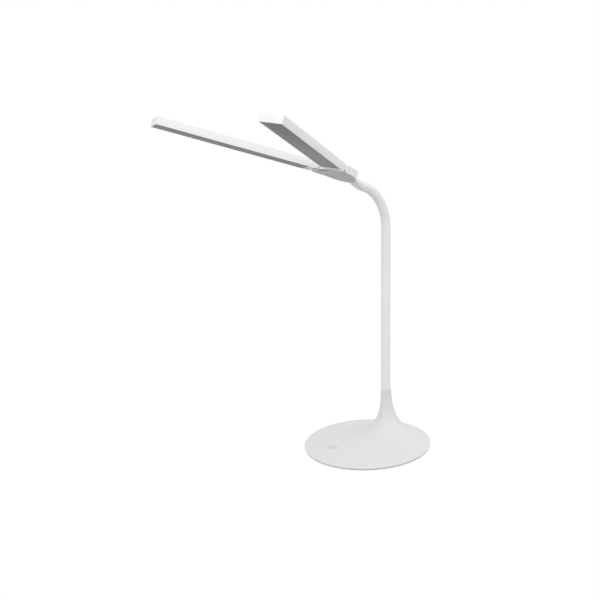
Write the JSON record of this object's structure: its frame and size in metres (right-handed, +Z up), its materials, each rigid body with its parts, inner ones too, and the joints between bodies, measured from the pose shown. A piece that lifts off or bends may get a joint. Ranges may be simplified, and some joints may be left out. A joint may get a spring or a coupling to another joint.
{
  "type": "folding desk lamp",
  "caption": "Round-base desk lamp with a trumpet stem, bendable neck and two folding light bars, with touch switch.",
  "frame": {"origin": "middle of the underside of the round base, on the desk", "axes": "+Z up; -Y towards the front of the base, where the touch symbol is; +X the side that the head is turned towards, which is the near bar in the picture"},
  "size_m": [0.2722, 0.3188, 0.4283],
  "materials": {
    "white_shell": "fine satin moulded ABS, white",
    "white_hinge": "white moulded nylon",
    "white_steel": "white painted steel sheet",
    "foam": "dark gray non-slip foam",
    "cast_weight": "cast iron, unpainted",
    "steel": "plated steel",
    "core_steel": "turned steel, lightly oiled",
    "symbol_gray": "light gray inlay",
    "copper_foil": "copper foil",
    "wire_yellow": "yellow wire insulation",
    "wire_red": "red wire insulation",
    "board_green": "green circuit board with solder mask",
    "chip_black": "black moulded chip packages",
    "cell_foil": "silver pouch foil",
    "nut_brass": "turned brass",
    "white_sleeve": "white silicone sleeve, satin",
    "cable_gray": "dark gray cable jacket",
    "lid_gray": "light gray matte plastic",
    "panel_gray": "switched-off frosted light panel, warm gray",
    "board_white": "white circuit board",
    "led_yellow": "yellow phosphor on light chips"
  },
  "bodies": {
    "base": {"base_cover": "white_shell", "base_plate": "white_steel", "foot_pad": "foam", "ballast": "cast_weight", "base_screws": "steel", "touch_symbol": "symbol_gray", "touch_pad": "copper_foil", "touch_lead": "wire_yellow", "control_board": "board_green", "board_components": "chip_black", "board_screws": "steel", "charging_inlet": "steel", "battery_cell": "cell_foil", "battery_lead": "wire_red", "stem_collar": "white_shell", "spring_washer": "steel", "neck_cable": "cable_gray"},
    "neck_foot": {"lower_ferrule": "steel", "neck_nut": "nut_brass", "neck_sleeve_0": "white_sleeve"},
    "neck_link_1": {"neck_core_1": "core_steel", "neck_sleeve_1": "white_sleeve"},
    "neck_link_2": {"neck_core_2": "core_steel", "neck_sleeve_2": "white_sleeve"},
    "neck_link_3": {"neck_core_3": "core_steel", "neck_sleeve_3": "white_sleeve"},
    "neck_link_4": {"neck_core_4": "core_steel", "neck_sleeve_4": "white_sleeve"},
    "neck_link_5": {"neck_core_5": "core_steel", "neck_sleeve_5": "white_sleeve"},
    "neck_link_6": {"neck_core_6": "core_steel", "neck_sleeve_6": "white_sleeve"},
    "neck_link_7": {"neck_core_7": "core_steel", "neck_sleeve_7": "white_sleeve"},
    "hub": {"neck_sleeve_8": "white_sleeve", "upper_ferrule": "steel", "tail_screw": "steel", "hub_shell": "white_shell", "hub_lid": "lid_gray", "hub_screw": "steel", "hub_board": "board_green", "hub_leads": "wire_red", "knuckle_left": "white_hinge", "knuckle_right": "white_hinge", "knuckle_screws": "steel", "hinge_washers_left": "steel", "hinge_washers_right": "steel"},
    "bar_left": {"bar_housing_left": "white_shell", "light_panel_left": "panel_gray", "led_board_left": "board_white", "led_chips_left": "led_yellow", "bar_lead_left": "wire_red", "hinge_pin_left": "steel"},
    "bar_right": {"bar_housing_right": "white_shell", "light_panel_right": "panel_gray", "led_board_right": "board_white", "led_chips_right": "led_yellow", "bar_lead_right": "wire_red", "hinge_pin_right": "steel"}
  },
  "joints": [
    {"name": "neck_turn", "type": "hinge", "parent": "base", "child": "neck_foot", "pos_m": [0, 0.0295, 0.0708], "axis": [0, 0, 1], "range_deg": [-113, 67], "deforming": ["neck_cable"]},
    {"name": "neck_lower_1", "type": "hinge", "parent": "neck_foot", "child": "neck_link_1", "pos_m": [-0.00002, 0.02955, 0.07752], "axis": [0.9205, 0.3907, 0], "range_deg": [-8, 12], "deforming": ["neck_sleeve_0"]},
    {"name": "neck_lower_2", "type": "hinge", "parent": "neck_link_1", "child": "neck_link_2", "pos_m": [-0.00163, 0.03333, 0.14559], "axis": [0.9205, 0.3907, 0], "range_deg": [-8, 12], "deforming": ["neck_sleeve_1"]},
    {"name": "neck_lower_3", "type": "hinge", "parent": "neck_link_2", "child": "neck_link_3", "pos_m": [-0.00317, 0.03696, 0.21], "axis": [0.9205, 0.3907, 0], "range_deg": [-8, 12], "deforming": ["neck_sleeve_2"]},
    {"name": "neck_upper_1", "type": "hinge", "parent": "neck_link_3", "child": "neck_link_4", "pos_m": [-0.0047, 0.04057, 0.28127], "axis": [0.9205, 0.3907, 0], "range_deg": [-14.4, 6], "deforming": ["neck_sleeve_3"]},
    {"name": "neck_upper_2", "type": "hinge", "parent": "neck_link_4", "child": "neck_link_5", "pos_m": [-0.00368, 0.03817, 0.29471], "axis": [0.9205, 0.3907, 0], "range_deg": [-14.4, 6], "deforming": ["neck_sleeve_4"]},
    {"name": "neck_upper_3", "type": "hinge", "parent": "neck_link_5", "child": "neck_link_6", "pos_m": [-0.00138, 0.03276, 0.30706], "axis": [0.9205, 0.3907, 0], "range_deg": [-14.4, 6], "deforming": ["neck_sleeve_5"]},
    {"name": "neck_upper_4", "type": "hinge", "parent": "neck_link_6", "child": "neck_link_7", "pos_m": [0.00205, 0.02467, 0.31756], "axis": [0.9205, 0.3907, 0], "range_deg": [-14.4, 6], "deforming": ["neck_sleeve_6"]},
    {"name": "neck_upper_5", "type": "hinge", "parent": "neck_link_7", "child": "hub", "pos_m": [0.0064, 0.01442, 0.32552], "axis": [0.9205, 0.3907, 0], "range_deg": [-14.4, 6], "deforming": ["neck_sleeve_7", "neck_sleeve_8"]},
    {"name": "fold_left", "type": "hinge", "parent": "hub", "child": "bar_left", "pos_m": [0.02026, -0.06174, 0.36102], "axis": [0.9893, 0.0093, 0.1459], "range_deg": [-90, 90]},
    {"name": "fold_right", "type": "hinge", "parent": "hub", "child": "bar_right", "pos_m": [0.05156, -0.04846, 0.36102], "axis": [0.6939, 0.7052, -0.1459], "range_deg": [-90, 90]}
  ],
  "couplings": [
    {"joint": "neck_lower_2", "follows": "neck_lower_1", "ratio": 1},
    {"joint": "neck_lower_3", "follows": "neck_lower_1", "ratio": 1},
    {"joint": "neck_upper_2", "follows": "neck_upper_1", "ratio": 1},
    {"joint": "neck_upper_3", "follows": "neck_upper_1", "ratio": 1},
    {"joint": "neck_upper_4", "follows": "neck_upper_1", "ratio": 1},
    {"joint": "neck_upper_5", "follows": "neck_upper_1", "ratio": 1}
  ]
}
